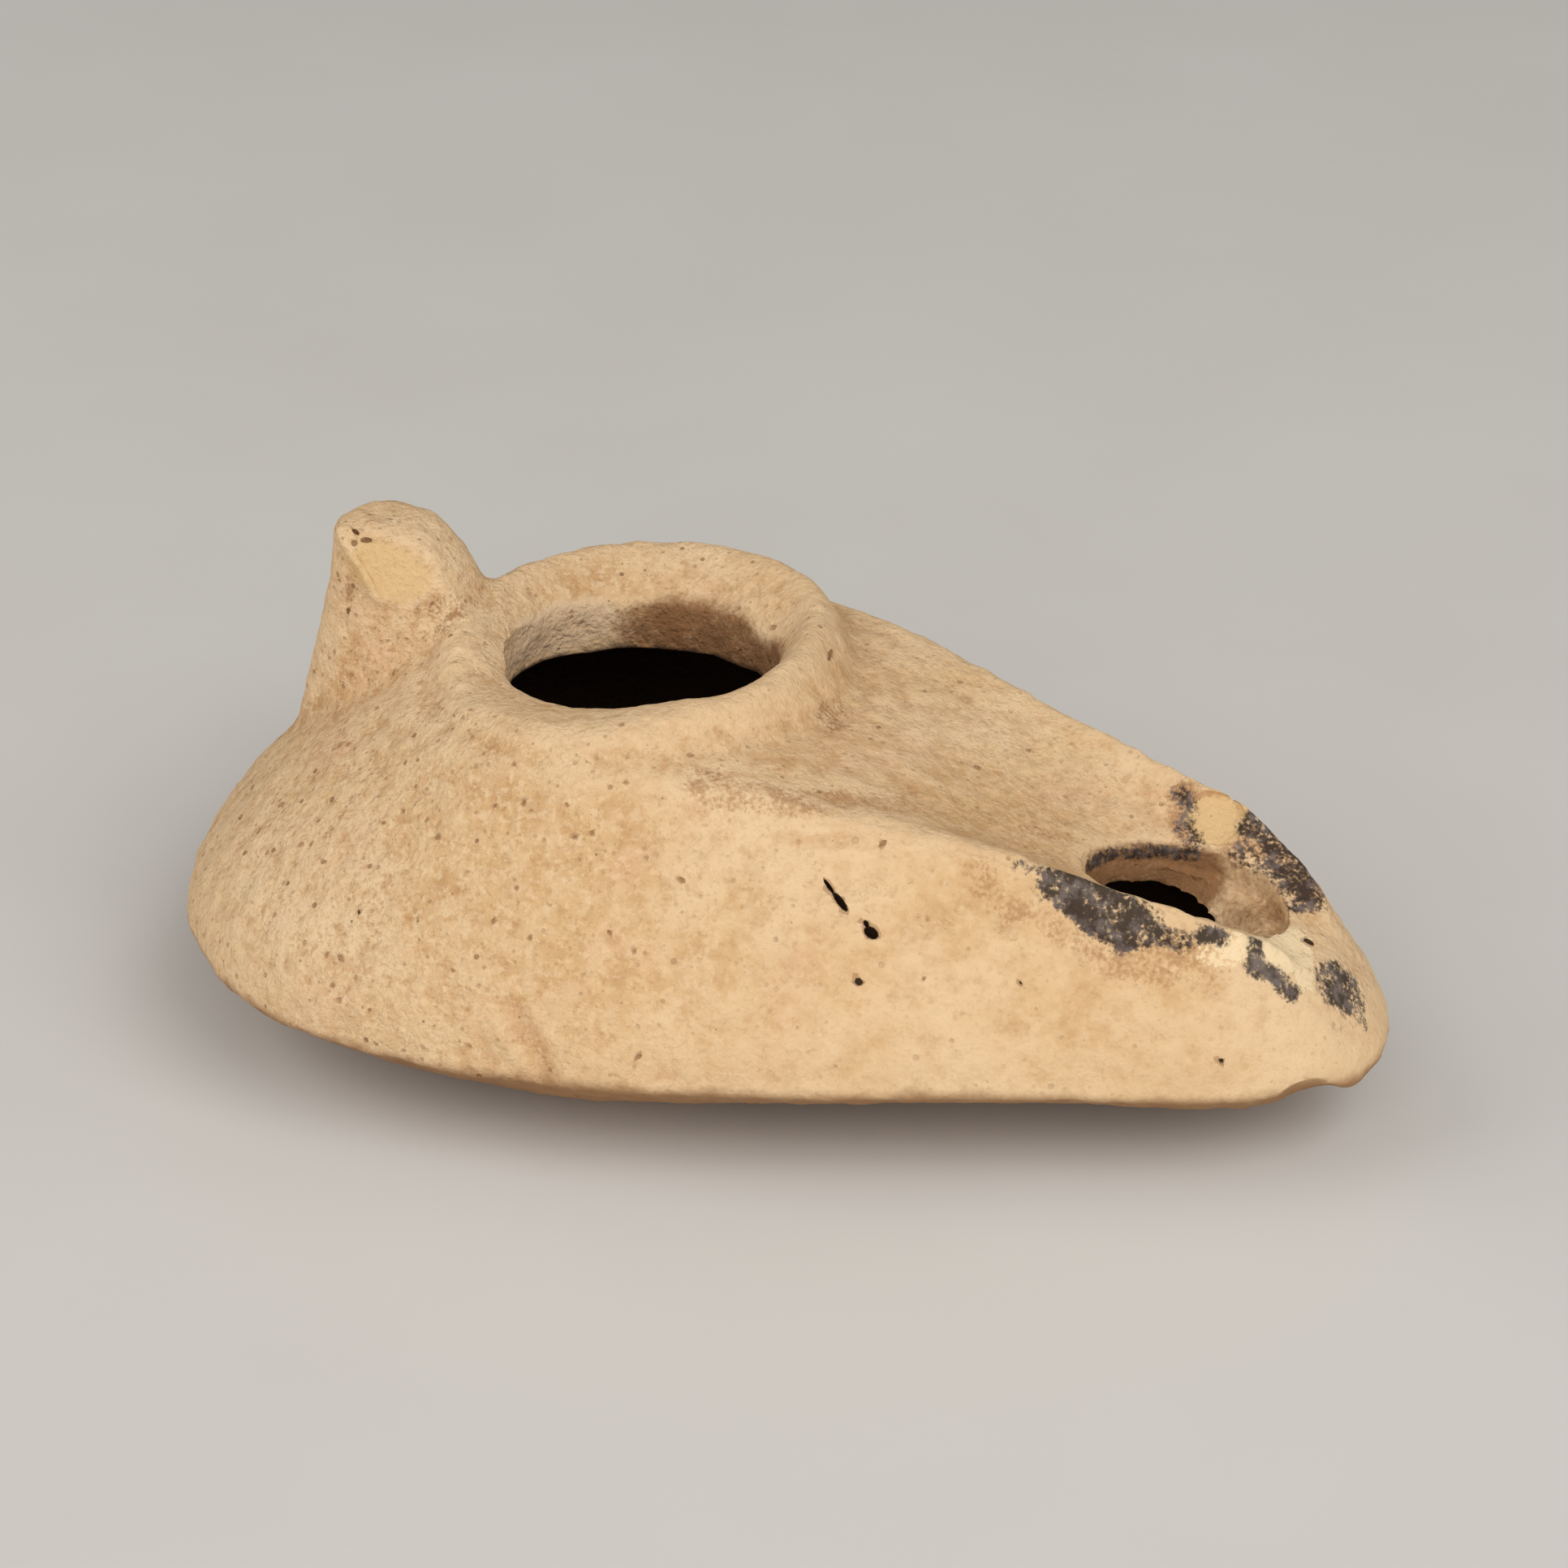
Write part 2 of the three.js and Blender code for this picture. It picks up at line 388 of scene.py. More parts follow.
class Recipe:
    """Lays and links the nodes of one material, with sizes in millimetres."""

    def __init__(self, name: str) -> None:
        """Starts an empty material with a shader.

        Args:
            name: The material's name.
        """
        self.material = bpy.data.materials.new(name)
        self.material.use_nodes = True
        self.tree = self.material.node_tree
        self.shader = self.tree.nodes["Principled BSDF"]
        self.place = self.tree.nodes.new("ShaderNodeTexCoord").outputs["Object"]

    def node(self, kind: str, **settings: object) -> bpy.types.Node:
        """Adds a node and sets its properties.

        Args:
            kind: The node's type, without the word ShaderNode.
            settings: Its properties.

        Returns:
            The node.
        """
        made = self.tree.nodes.new("ShaderNode" + kind)
        for name, value in settings.items():
            setattr(made, name, value)
        return made

    def feed(self, socket: bpy.types.NodeSocket, value: object) -> None:
        """Links a socket to a value, or sets it to a number or a colour.

        Args:
            socket: The input to fill.
            value: What it gets.
        """
        if isinstance(value, bpy.types.NodeSocket):
            self.tree.links.new(value, socket)
        else:
            socket.default_value = value

    def maths(self, operation: str, *values: object) -> bpy.types.NodeSocket:
        """Adds a sum of one or two values.

        Args:
            operation: Blender's name for the sum.
            values: Sockets or numbers.

        Returns:
            The result.
        """
        made = self.node("Math", operation=operation)
        for socket, value in zip(made.inputs, values):
            self.feed(socket, value)
        return made.outputs[0]

    def level(self, value: object, start: float, stop: float) -> bpy.types.NodeSocket:
        """Turns a value into a soft step from nought at start to one at stop.

        Args:
            value: The socket to read.
            start: Where the step begins.
            stop: Where it ends.

        Returns:
            The step.
        """
        made = self.node("MapRange", interpolation_type="SMOOTHSTEP")
        for name, given in (("Value", value), ("From Min", start), ("From Max", stop)):
            self.feed(made.inputs[name], given)
        return made.outputs[0]

    def noise(
        self, size: float, detail: float = 3.0,
        stretch: Place = (1, 1, 1), turn: Place = (0, 0, 0),
    ) -> bpy.types.NodeSocket:
        """Adds a cloudy pattern.

        Args:
            size: The size of its clouds in millimetres.
            detail: How many finer layers it has.
            stretch: How much longer it is along X, Y and Z.
            turn: How it is turned, in degrees.

        Returns:
            A value from nought to one.
        """
        mapping = self.node("Mapping", vector_type="TEXTURE")
        self.feed(mapping.inputs["Vector"], self.place)
        mapping.inputs["Rotation"].default_value = [math.radians(a) for a in turn]
        mapping.inputs["Scale"].default_value = stretch
        mapping.inputs["Location"].default_value = metres(
            tuple(size * shift for shift in CLOUD_SHIFT)
        )
        made = self.node("TexNoise", normalize=True)
        self.feed(made.inputs["Vector"], mapping.outputs[0])
        made.inputs["Scale"].default_value = 1 / (size * MM)
        made.inputs["Detail"].default_value = detail
        made.inputs["Roughness"].default_value = 0.6
        return made.outputs["Fac"]

    def specks(self, spacing: float, radius: float, share: float) -> bpy.types.NodeSocket:
        """Scatters round specks.

        Args:
            spacing: The room that each speck has, in millimetres.
            radius: The largest radius, in millimetres.
            share: The part of the places that hold one.

        Returns:
            One in a speck and nought outside.
        """
        made = self.node("TexVoronoi")
        self.feed(made.inputs["Vector"], self.place)
        made.inputs["Scale"].default_value = 1 / (spacing * MM)
        chance = self.node("SeparateColor")
        self.feed(chance.inputs[0], made.outputs["Color"])
        size = self.maths("MULTIPLY", chance.outputs[1], radius / spacing)
        edge = self.maths("DIVIDE", made.outputs["Distance"], size)
        round_one = self.maths("SUBTRACT", 1.0, self.level(edge, 0.55, 1.0))
        chosen = self.maths("LESS_THAN", chance.outputs[0], share)
        return self.maths("MULTIPLY", round_one, chosen)

    def attribute(self, name: str) -> bpy.types.NodeSocket:
        """Reads a value stored on the mesh."""
        return self.node("Attribute", attribute_name=name).outputs["Fac"]

    def mix(self, share: object, under: object, over: object) -> bpy.types.NodeSocket:
        """Lays one colour over another.

        Args:
            share: How much of the upper colour shows.
            under: The lower colour.
            over: The upper colour.

        Returns:
            The mixed colour.
        """
        made = self.node("Mix", data_type="RGBA")
        self.feed(made.inputs[0], share)
        self.feed(made.inputs[6], under)
        self.feed(made.inputs[7], over)
        return made.outputs[2]


@dataclass(frozen=True)
class FiredClay:
    """Unglazed buff clay, worn and finely pitted, with soot, dirt, stains and pale breaks, and
    painted shade in hollows, holes, the hollow inside, the throat and below the seam.
    """

    buff: Colour = srgb(223, 184, 135)
    cream: Colour = srgb(236, 203, 160)
    tan: Colour = srgb(202, 156, 106)
    pink: Colour = srgb(227, 181, 142)
    speck: Colour = srgb(142, 96, 58)
    dirt: Colour = srgb(158, 114, 74)
    stain: Colour = srgb(178, 130, 86)
    soot: Colour = srgb(52, 42, 38)
    soot_grey: Colour = srgb(108, 98, 95)
    # fuel stain mixed with painted shadow, for the throat and the wick hole
    oil_and_shadow: Colour = srgb(134, 90, 52)
    # dark fuel-stained clay and painted shade for the walls of the hollow
    inside_oil_and_shade: Colour = srgb(70, 48, 32)
    # painted shade on the underside below the near seam
    under: Colour = srgb(142, 98, 60)
    # painted shade: nearly black brown inside the deepest holes
    deep: Colour = srgb(46, 28, 18)
    film: Colour = srgb(226, 196, 160)
    pale: Colour = srgb(250, 224, 180)
    fresh: Colour = srgb(228, 192, 138)
    roughness: float = 0.88
    gloss: float = 0.25
    bump_strength: float = 0.85
    bump_depth: float = 0.28
    fine_size: float = 0.4
    coarse_size: float = 1.3
    coarse_share: float = 2.5
    speck_depth: float = 0.9

    def patchy(self, r: Recipe, part: float) -> bpy.types.NodeSocket:
        """Weakens a pattern by a part of itself where the lamp is worn smooth.

        Args:
            r: The material's nodes.
            part: The part that is lost there.

        Returns:
            How much of the pattern is left: all of it on the rough side.
        """
        return r.maths("ADD", r.maths("MULTIPLY", r.attribute(Trait.ROUGH.value), part), 1 - part)

    def blotched(
        self, r: Recipe, mark: Mark, size: float, low: float, high: float, ragged: float = 1.3
    ) -> bpy.types.NodeSocket:
        """Breaks the edge of a mark up with a coarse and a fine cloudy pattern.

        Args:
            r: The material's nodes.
            mark: Which mark to read.
            size: The size of the coarse clouds in millimetres.
            low: Where the mark begins to show.
            high: Where it covers the clay.
            ragged: How far the clouds reach into the mark.

        Returns:
            How much of the mark shows.
        """
        value = r.attribute(mark.value)
        clouded = r.maths("SUBTRACT", r.maths("ADD", r.noise(size, 5), r.noise(size / 5, 2)), 1.0)
        broken = r.maths("ADD", value, r.maths("MULTIPLY", clouded, ragged))
        return r.maths("MULTIPLY", r.level(broken, low, high), r.level(value, 0.02, 0.2))

    def clay(self, r: Recipe) -> bpy.types.NodeSocket:
        """Mixes the bare clay: broad clouds, mottling, fine grains and the lines of a wipe.

        Args:
            r: The material's nodes.

        Returns:
            The colour.
        """
        patchy = self.patchy(r, 0.6)
        colour = r.mix(r.level(r.noise(16, 3), 0.38, 0.62), self.buff, self.cream)
        for size, low, high, share, over in (
            (6, 0.48, 0.68, 0.5, self.tan), (9, 0.5, 0.7, 0.6, self.pink),
            (2.4, 0.5, 0.66, 0.65, self.tan), (1.0, 0.5, 0.64, 0.6, self.tan),
            (0.7, 0.5, 0.62, 0.8, self.cream), (0.45, 0.54, 0.66, 0.5, self.stain),
        ):
            shown = r.maths(
                "MULTIPLY", r.level(r.noise(size, 4), low, high), r.maths("MULTIPLY", patchy, share)
            )
            colour = r.mix(shown, colour, over)
        wiped = r.level(r.attribute(Mark.WIPED.value), 0.0, 0.8)
        lines = r.noise(1.5, 4, stretch=(11, 1, 1), turn=(0, 0, 32))
        for low, high, share, over in ((0.46, 0.66, 0.45, self.tan), (0.46, 0.3, 0.5, self.cream)):
            shown = r.maths("MULTIPLY", wiped, r.level(lines, low, high))
            colour = r.mix(r.maths("MULTIPLY", shown, share), colour, over)
        return colour

    def specks(self, r: Recipe) -> bpy.types.NodeSocket:
        """Scatters fine brown specks, more of them on the rough side.

        Args:
            r: The material's nodes.

        Returns:
            How much of them shows.
        """
        fine = r.maths("MULTIPLY", r.specks(0.8, 0.26, 0.5), 0.4)
        large = r.maths("MULTIPLY", r.specks(1.9, 0.34, 0.55), 0.75)
        return r.maths("MULTIPLY", r.maths("MAXIMUM", fine, large), self.patchy(r, 0.65))

    def sooty(self, r: Recipe) -> bpy.types.NodeSocket:
        """Spreads the soot, with a fringe of fine dots round it.

        Args:
            r: The material's nodes.

        Returns:
            How much of it shows.
        """
        value = r.attribute(Mark.SOOT.value)
        body = self.blotched(r, Mark.SOOT, 1.8, 0.25, 0.95, ragged=2.0)
        dots = r.maths("MULTIPLY", r.level(r.noise(0.5, 3), 0.54, 0.6), r.level(value, 0.05, 0.6))
        dots = r.maths("MULTIPLY", dots, 0.9)
        return r.maths("MULTIPLY", r.maths("MAXIMUM", body, dots), 0.95)

    def colour(self, r: Recipe, specks: bpy.types.NodeSocket) -> bpy.types.NodeSocket:
        """Lays everything that marks the clay, and the painted shade, over its bare colour, the
        deepest first.

        Args:
            r: The material's nodes.
            specks: How much of the brown specks shows.

        Returns:
            The colour.
        """
        pit_and_shade = r.attribute(Trait.PIT_AND_SHADE.value)
        # dirt in the hollows together with painted shade there, broken up by clouds
        crevice_dirt_and_shade = r.maths(
            "MULTIPLY", r.attribute(Trait.HOLLOW.value), r.level(r.noise(1.6, 4), 0.3, 0.6)
        )
        # painted shade below the near seam, broken up by clouds
        below = r.maths("ADD", r.attribute(Trait.BELOW.value), r.noise(2.5, 4))
        soot_tone = r.mix(r.level(r.noise(1.3, 4), 0.44, 0.66), self.soot, self.soot_grey)
        colour = self.clay(r)
        for share, strength, over in (
            (r.attribute(Trait.RAISED.value), 0.45, self.cream),
            (self.blotched(r, Mark.FILM, 4, 0.2, 0.9), 0.8, self.film),
            (crevice_dirt_and_shade, 0.2, self.dirt),
            (self.blotched(r, Mark.DIRT, 1.3, 0.3, 1.0, ragged=2.2), 0.75, self.dirt),
            (self.blotched(r, Mark.STAIN, 1.8, 0.2, 0.9, ragged=1.8), 0.7, self.stain),
            (self.blotched(r, Mark.PALE, 1.8, 0.3, 0.6, ragged=2.2), 0.85, self.pale),
            (self.blotched(r, Mark.FRESH, 0.9, 0.2, 0.6, ragged=0.8), 0.85, self.fresh),
            (specks, 1.0, self.speck),
            # painted shade below the near seam
            (r.level(below, 0.7, 1.5), 0.8, self.under),
            # brown in the pits, partly their own colour and partly painted shade
            (r.level(pit_and_shade, 0.2, 0.5), 0.5, self.speck),
            # fuel stain and painted shadow in the throat and the wick hole
            (self.blotched(r, Mark.OIL_AND_SHADOW, 2.5, 0.0, 1.0, ragged=0.9), 0.9, self.oil_and_shadow),
            # painted shade, nearly black, inside the deep holes
            (r.level(pit_and_shade, 0.8, 0.98), 0.9, self.deep),
            (self.sooty(r), 1.0, soot_tone),
            # the walls of the hollow: painted shade with fuel staining
            (r.attribute(Trait.INSIDE.value), 1.0, self.inside_oil_and_shade),
        ):
            colour = r.mix(r.maths("MULTIPLY", share, strength), colour, over)
        return colour

    def bump(self, r: Recipe, specks: bpy.types.NodeSocket) -> bpy.types.NodeSocket:
        """Gives the surface its finest grain, with the specks sunk into it.

        Args:
            r: The material's nodes.
            specks: How much of the brown specks shows.

        Returns:
            The bumped normal.
        """
        coarse = r.maths("MULTIPLY", r.noise(self.coarse_size, 4), self.coarse_share)
        grain = r.maths("ADD", r.noise(self.fine_size, 3), coarse)
        grain = r.maths("MULTIPLY", grain, self.patchy(r, 0.6))
        height = r.maths("SUBTRACT", grain, r.maths("MULTIPLY", specks, self.speck_depth))
        bump = r.node("Bump")
        bump.inputs["Strength"].default_value = self.bump_strength
        bump.inputs["Distance"].default_value = self.bump_depth * MM
        r.feed(bump.inputs["Height"], height)
        return bump.outputs[0]

    def material(self) -> bpy.types.Material:
        """Builds the material.

        Returns:
            The material.
        """
        r = Recipe("fired_clay")
        specks = self.specks(r)
        r.feed(r.shader.inputs["Base Color"], self.colour(r, specks))
        r.feed(r.shader.inputs["Normal"], self.bump(r, specks))
        r.shader.inputs["Roughness"].default_value = self.roughness
        r.shader.inputs["Specular IOR Level"].default_value = self.gloss
        return r.material


@dataclass(frozen=True)
class PaleFloor:
    """A plain pale floor with faint broad clouds."""

    dark: Colour = srgb(214, 210, 204)
    light: Colour = srgb(222, 219, 214)
    cloud_size: float = 40
    roughness: float = 0.9

    def material(self) -> bpy.types.Material:
        """Builds the material.

        Returns:
            The material.
        """
        r = Recipe("pale_floor")
        colour = r.mix(r.noise(self.cloud_size, 2), self.dark, self.light)
        r.feed(r.shader.inputs["Base Color"], colour)
        r.shader.inputs["Roughness"].default_value = self.roughness
        return r.material


# ---- the lamp ----


@dataclass(frozen=True)
class Rims:
    """The edges that wear leaves crisper: funnel, wick hole and handle top, in millimetres."""

    funnel_half: tuple[float, float] = (14.9, 16.2)
    funnel_slope: float = 5
    funnel_foot: float = 25.5
    burner: Place = (48, -1, 20)
    burner_squares: Place = (90, 60, 50)
    handle_front: float = -14
    handle_top: float = 33

    def share(self, points: np.ndarray) -> np.ndarray:
        """Says how much each point belongs to a rim.

        Args:
            points: Places in millimetres.

        Returns:
            One on a rim and nought on the walls.
        """
        x, y, z = points.T
        wide, deep = self.funnel_half
        funnel = 1 + self.funnel_slope - self.funnel_slope * np.hypot(x / wide, y / deep)
        funnel[z < self.funnel_foot] = 0
        burner = 2 - ((points - self.burner) ** 2 / self.burner_squares).sum(axis=1)
        handle = np.where(x < self.handle_front, (z - self.handle_top) / 2, 0)
        return np.clip(np.maximum.reduce([funnel, burner, handle]), 0, 1)


@dataclass(frozen=True)
class MouldSeam:
    """The fine ridge round the widest outline, where the halves of the mould met.

    Below it the surface is painted darker, as shade. Its stations along X and all other sizes are
    in millimetres.
    """

    stations: range = range(-33, 61, 4)
    slice_half: float = 0.6
    top: float = 13
    outermost: float = 0.2
    drop: float = 0.8
    width: float = 0.5
    height: float = 0.22
    shade_start: float = 1.7
    shade_run: float = 1.9

    def bead(self, points: np.ndarray, side: int) -> Bead:
        """Finds the widest outline on one side and lays the ridge just below it.

        Args:
            points: Places in millimetres.
            side: -1 for the near side and 1 for the far one.

        Returns:
            The ridge.
        """
        line = []
        for x in self.stations:
            at_station = np.abs(points[:, 0] - x) < self.slice_half
            slab = points[at_station & (points[:, 2] < self.top)]
            out = side * slab[:, 1]
            edge = slab[out > out.max() - self.outermost].mean(axis=0)
            line.append(edge - (0, 0, self.drop))
        line = np.array(line)
        for _ in range(2):
            line[1:-1] = (line[:-2] + 2 * line[1:-1] + line[2:]) / 4
        return Bead(tuple(map(tuple, line)), self.width, self.height)

    def below(self, points: np.ndarray) -> np.ndarray:
        """Says how far each point lies below the near seam, where the surface is painted darker as
        shade.

        Args:
            points: Places in millimetres.

        Returns:
            Nought above the seam and one well below it.
        """
        line = np.array(self.bead(points, -1).line)
        edge = np.interp(points[:, 0], line[:, 0], line[:, 2])
        return np.clip((edge + self.shade_start - points[:, 2]) / self.shade_run, 0, 1)


@dataclass(frozen=True)
class SlumpedRing:
    """The filled foot of the ring on its near side, where ring and wall run into one another.

    The foot is an oval of these half-widths at this height, in millimetres; the slump is turned
    round it in degrees, and spreads over a part of its width.
    """

    half: tuple[float, float] = (18.2, 19.4)
    height: float = 29.2
    amount: float = 0.25
    turn: float = 10.0
    spread: float = 0.075
    thickness: float = 1.8
    rise: float = 16.0

    def shift(self, points: np.ndarray) -> np.ndarray:
        """Works out how far each point moves, out and up.

        Args:
            points: Places in millimetres.

        Returns:
            One move for each point.
        """
        x, y, z = points.T
        wide, deep = self.half
        off_foot = np.hypot(x / wide, y / deep) - 1
        near = np.clip(-np.sin(np.arctan2(y, x) + math.radians(self.turn)), 0, 1) ** 1.5
        weight = near * bell(off_foot / self.spread) * bell((z - self.height) / self.thickness)
        out = np.stack([x, y, np.full(len(x), self.rise)], axis=1)
        out /= np.linalg.norm(out, axis=1)[:, None]
        return self.amount * weight[:, None] * out


@dataclass(frozen=True)
class WickSlope:
    """Clay on the walls under the wick hole, so that they slope in behind its far rim and tip.

    All sizes are in millimetres. The clay begins at the floor, ends at the top, and is thickest
    at the tip and on the far side.
    """

    heart: Place = (44, 0, 13)
    floor: float = 8
    floor_run: float = 4
    top: float = 17.6
    top_run: float = -2.4
    tip_start: float = 46
    tip_run: float = 8
    far_start: tuple[float, float] = (43, -2)
    far_run: float = 5
    at_tip: float = -4.0
    at_far: float = -2.4

    def shift(self, points: np.ndarray, normals: np.ndarray) -> np.ndarray:
        """Works out how far each point of the inner wall moves.

        Args:
            points: Places in millimetres.
            normals: The surface's directions there.

        Returns:
            One move for each point.
        """
        x, y, z = points.T
        inner = ((points - self.heart) * normals).sum(axis=1) < 0
        low = inner * ramp(z, self.top, self.top_run) * ramp(z, self.floor, self.floor_run)
        to_tip = ramp(x, self.tip_start, self.tip_run)
        from_x, from_y = self.far_start
        to_far = ramp(x, from_x, self.far_run) * ramp(y, from_y, self.far_run)
        return low[:, None] * np.stack([self.at_tip * to_tip, self.at_far * to_far, 0 * x], axis=1)


@dataclass(frozen=True)
class Chamber:
    """Where the hollow lies: its middle line along X, and how high its walls and roof go.

    All sizes are in millimetres. What shows through the wick hole is left out. Its walls are
    painted dark brown, as fuel staining and shade.
    """

    back: float = -15
    front: float = 45
    height: float = 14
    wall_top: float = 22
    roof_top: float = 27.5
    wick_back: float = 37
    wick_floor: float = 12.5

    def holds(self, points: np.ndarray, normals: np.ndarray) -> np.ndarray:
        """Tells the walls of the hollow from the outside.

        Args:
            points: Places in millimetres.
            normals: The surface's directions there.

        Returns:
            True for each place that lies on the hollow's walls.
        """
        x, _, z = points.T
        middle = np.stack([np.clip(x, self.back, self.front), 0 * x, 0 * x + self.height], axis=1)
        inward = ((points - middle) * normals).sum(axis=1) < 0
        roof = (normals[:, 2] < -0.3) & (z < self.roof_top)
        wick = (x > self.wick_back) & (z > self.wick_floor)
        return inward & ((z < self.wall_top) | roof) & ~wick


@dataclass(frozen=True)
class SmallPits:
    """Small pits strewn over the outside, thinner towards the tip, in millimetres."""

    count: int = 260
    seed: int = 7
    heart: Place = (8, 0, 14)
    outward: float = 0.3
    smallest: float = 0.12
    growth: float = 0.2
    cluster: float = 5
    shade: float = 0.6

    def strew(self, points: np.ndarray, normals: np.ndarray) -> list[Gouge]:
        """Picks places for the pits and gives each its size and turn.

        Args:
            points: The lamp's vertices, in millimetres.
            normals: The surface's directions there.

        Returns:
            The pits.
        """
        chance = random.Random(self.seed)
        from_heart = points - self.heart
        facing_out = (from_heart * normals).sum(axis=1)
        outside = np.flatnonzero(facing_out > self.outward * np.linalg.norm(from_heart, axis=1))
        pits: list[Gouge] = []
        while len(pits) < self.count:
            index = outside[chance.randrange(len(outside))]
            radius = self.smallest + self.growth * chance.random() ** 4
            out = Vector(normals[index])
            middle = Vector(points[index]) + out * radius * 0.3
            outside_cluster = clouds.noise(middle / self.cluster) < chance.uniform(-0.35, 0.45)
            towards_tip = chance.random() < (middle.x + 20) / 60
            if outside_cluster or towards_tip:
                continue
            half = (radius * chance.uniform(1.0, 1.5), radius * chance.uniform(0.6, 1.0), radius)
            along = (chance.uniform(-1, 1), chance.uniform(-1, 1), chance.uniform(-1, 1))
            pits.append(Gouge(tuple(middle), half, along, tuple(out), self.shade))
        return pits


@dataclass
class LampBody:
    """The one fired piece: a hollow bowl with its ring, nozzle and broken handle."""

    voxel: float = 0.40
    scar_voxel: float = 0.26
    bore_voxel: float = 0.35
    broad_rounds: int = 36
    fine_rounds: int = 6
    triangles: int = 160_000
    hidden_share: float = 0.05
    fine_bend: int = 8
    fine_lift: float = 0.1
    broad_bend: int = 40
    broad_lift: float = 0.5
    smooth_from: float = 26
    smooth_run: float = -34
    rough_top: float = 0.45
    corner: float = 50
    rims: Rims = Rims()
    seam: MouldSeam = MouldSeam()
    ring: SlumpedRing = SlumpedRing()
    wick_slope: WickSlope = WickSlope()
    chamber: Chamber = Chamber()
    pits: SmallPits = SmallPits()
    pushes: list[Push] = field(default_factory=list)
    beads: list[Bead] = field(default_factory=list)
    flakes: list[Flake] = field(default_factory=list)
    bores: list[Bore] = field(default_factory=list)
    gouges: list[Gouge] = field(default_factory=list)
    marks: list[Patch | Streak] = field(default_factory=list)

    def copy_of_frame(self) -> bpy.types.Object:
        """Copies the lamp's solid and merges its loose triangles.

        Returns:
            The copy, a closed mesh.
        """
        pick(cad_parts["lamp"])
        bpy.ops.object.duplicate()
        body = bpy.context.object
        body.name = body.data.name = "clay_lamp"
        bpy.ops.object.mode_set(mode="EDIT")
        bpy.ops.mesh.select_all(action="SELECT")
        bpy.ops.mesh.remove_doubles(threshold=0.001 * MM)
        bpy.ops.object.mode_set(mode="OBJECT")
        return body

    def smooth(self, body: bpy.types.Object) -> None:
        """Remeshes the solid finely and wears its facets away, less so on the rims.

        Args:
            body: The lamp.
        """
        remesh(body, self.voxel)
        keep = self.rims.share(read_points(body) / MM)
        for name, weights, rounds in (
            ("walls", 1 - keep, self.broad_rounds), ("rims", keep, self.fine_rounds)
        ):
            group = body.vertex_groups.new(name=name)
            steps = np.round(weights * 10).astype(int)
            for step in range(1, 11):
                members = np.flatnonzero(steps == step)
                if len(members):
                    group.add(members.tolist(), step / 10, "REPLACE")
            finish_modifier(body, "SMOOTH", factor=0.5, iterations=rounds, vertex_group=name)
        body.vertex_groups.clear()

    def sculpt(self, body: bpy.types.Object) -> None:
        """Pushes the surface where it is uneven, then gives it shallow lumps.

        Args:
            body: The lamp.
        """
        points = read_points(body) / MM
        normals = read_points(body, "normal")
        ridges = [*self.beads, self.seam.bead(points, -1), self.seam.bead(points, 1)]
        moved = points + sum(push.shift(points) for push in self.pushes)
        moved += sum(ridge.shift(points, normals) for ridge in ridges)
        moved += self.ring.shift(points) + self.wick_slope.shift(points, normals)
        write_points(body, moved * MM)
        for name, size, depth in (("swells", 8, 0.42), ("lumps", 2.6, 0.38), ("grain", 1.2, 0.2)):
            roughen(body, name, size, depth * MM, layers=2, still=0.62)
        points = read_points(body)
        points[:, 2] = np.maximum(points[:, 2], 0)
        write_points(body, points)

    def thin(self, body: bpy.types.Object) -> None:
        """Takes most of the faces out of the hollow, then some where the outside is even.

        Args:
            body: The lamp.
        """
        faces = body.data.polygons
        centres = np.empty(len(faces) * 3)
        normals = np.empty(len(faces) * 3)
        faces.foreach_get("center", centres)
        faces.foreach_get("normal", normals)
        hidden = self.chamber.holds(centres.reshape(-1, 3) / MM, normals.reshape(-1, 3))
        pick(body)
        for elements in (body.data.vertices, body.data.edges):
            elements.foreach_set("select", np.zeros(len(elements), dtype=bool))
        faces.foreach_set("select", hidden)
        bpy.ops.object.mode_set(mode="EDIT")
        bpy.ops.mesh.select_mode(type="FACE")
        bpy.ops.mesh.decimate(ratio=self.hidden_share)
        bpy.ops.object.mode_set(mode="OBJECT")
        body.data.calc_loop_triangles()
        share = self.triangles / len(body.data.loop_triangles)
        finish_modifier(body, "DECIMATE", ratio=min(1.0, share))

    def balls(self, gouges: list[Gouge]) -> bpy.types.Object:
        """Makes stretched balls and joins them.

        Args:
            gouges: Where they are and how they lie.

        Returns:
            The joined balls.
        """
        deselect()
        made = []
        for gouge in gouges:
            bpy.ops.mesh.primitive_ico_sphere_add(
                subdivisions=2, radius=1, location=metres(gouge.middle),
                rotation=gouge.turn().to_euler(), scale=metres(gouge.half),
            )
            made.append(bpy.context.object)
        for one in made:
            one.select_set(True)
        bpy.ops.object.join()
        bpy.ops.object.transform_apply(location=True, rotation=True, scale=True)
        return bpy.context.object

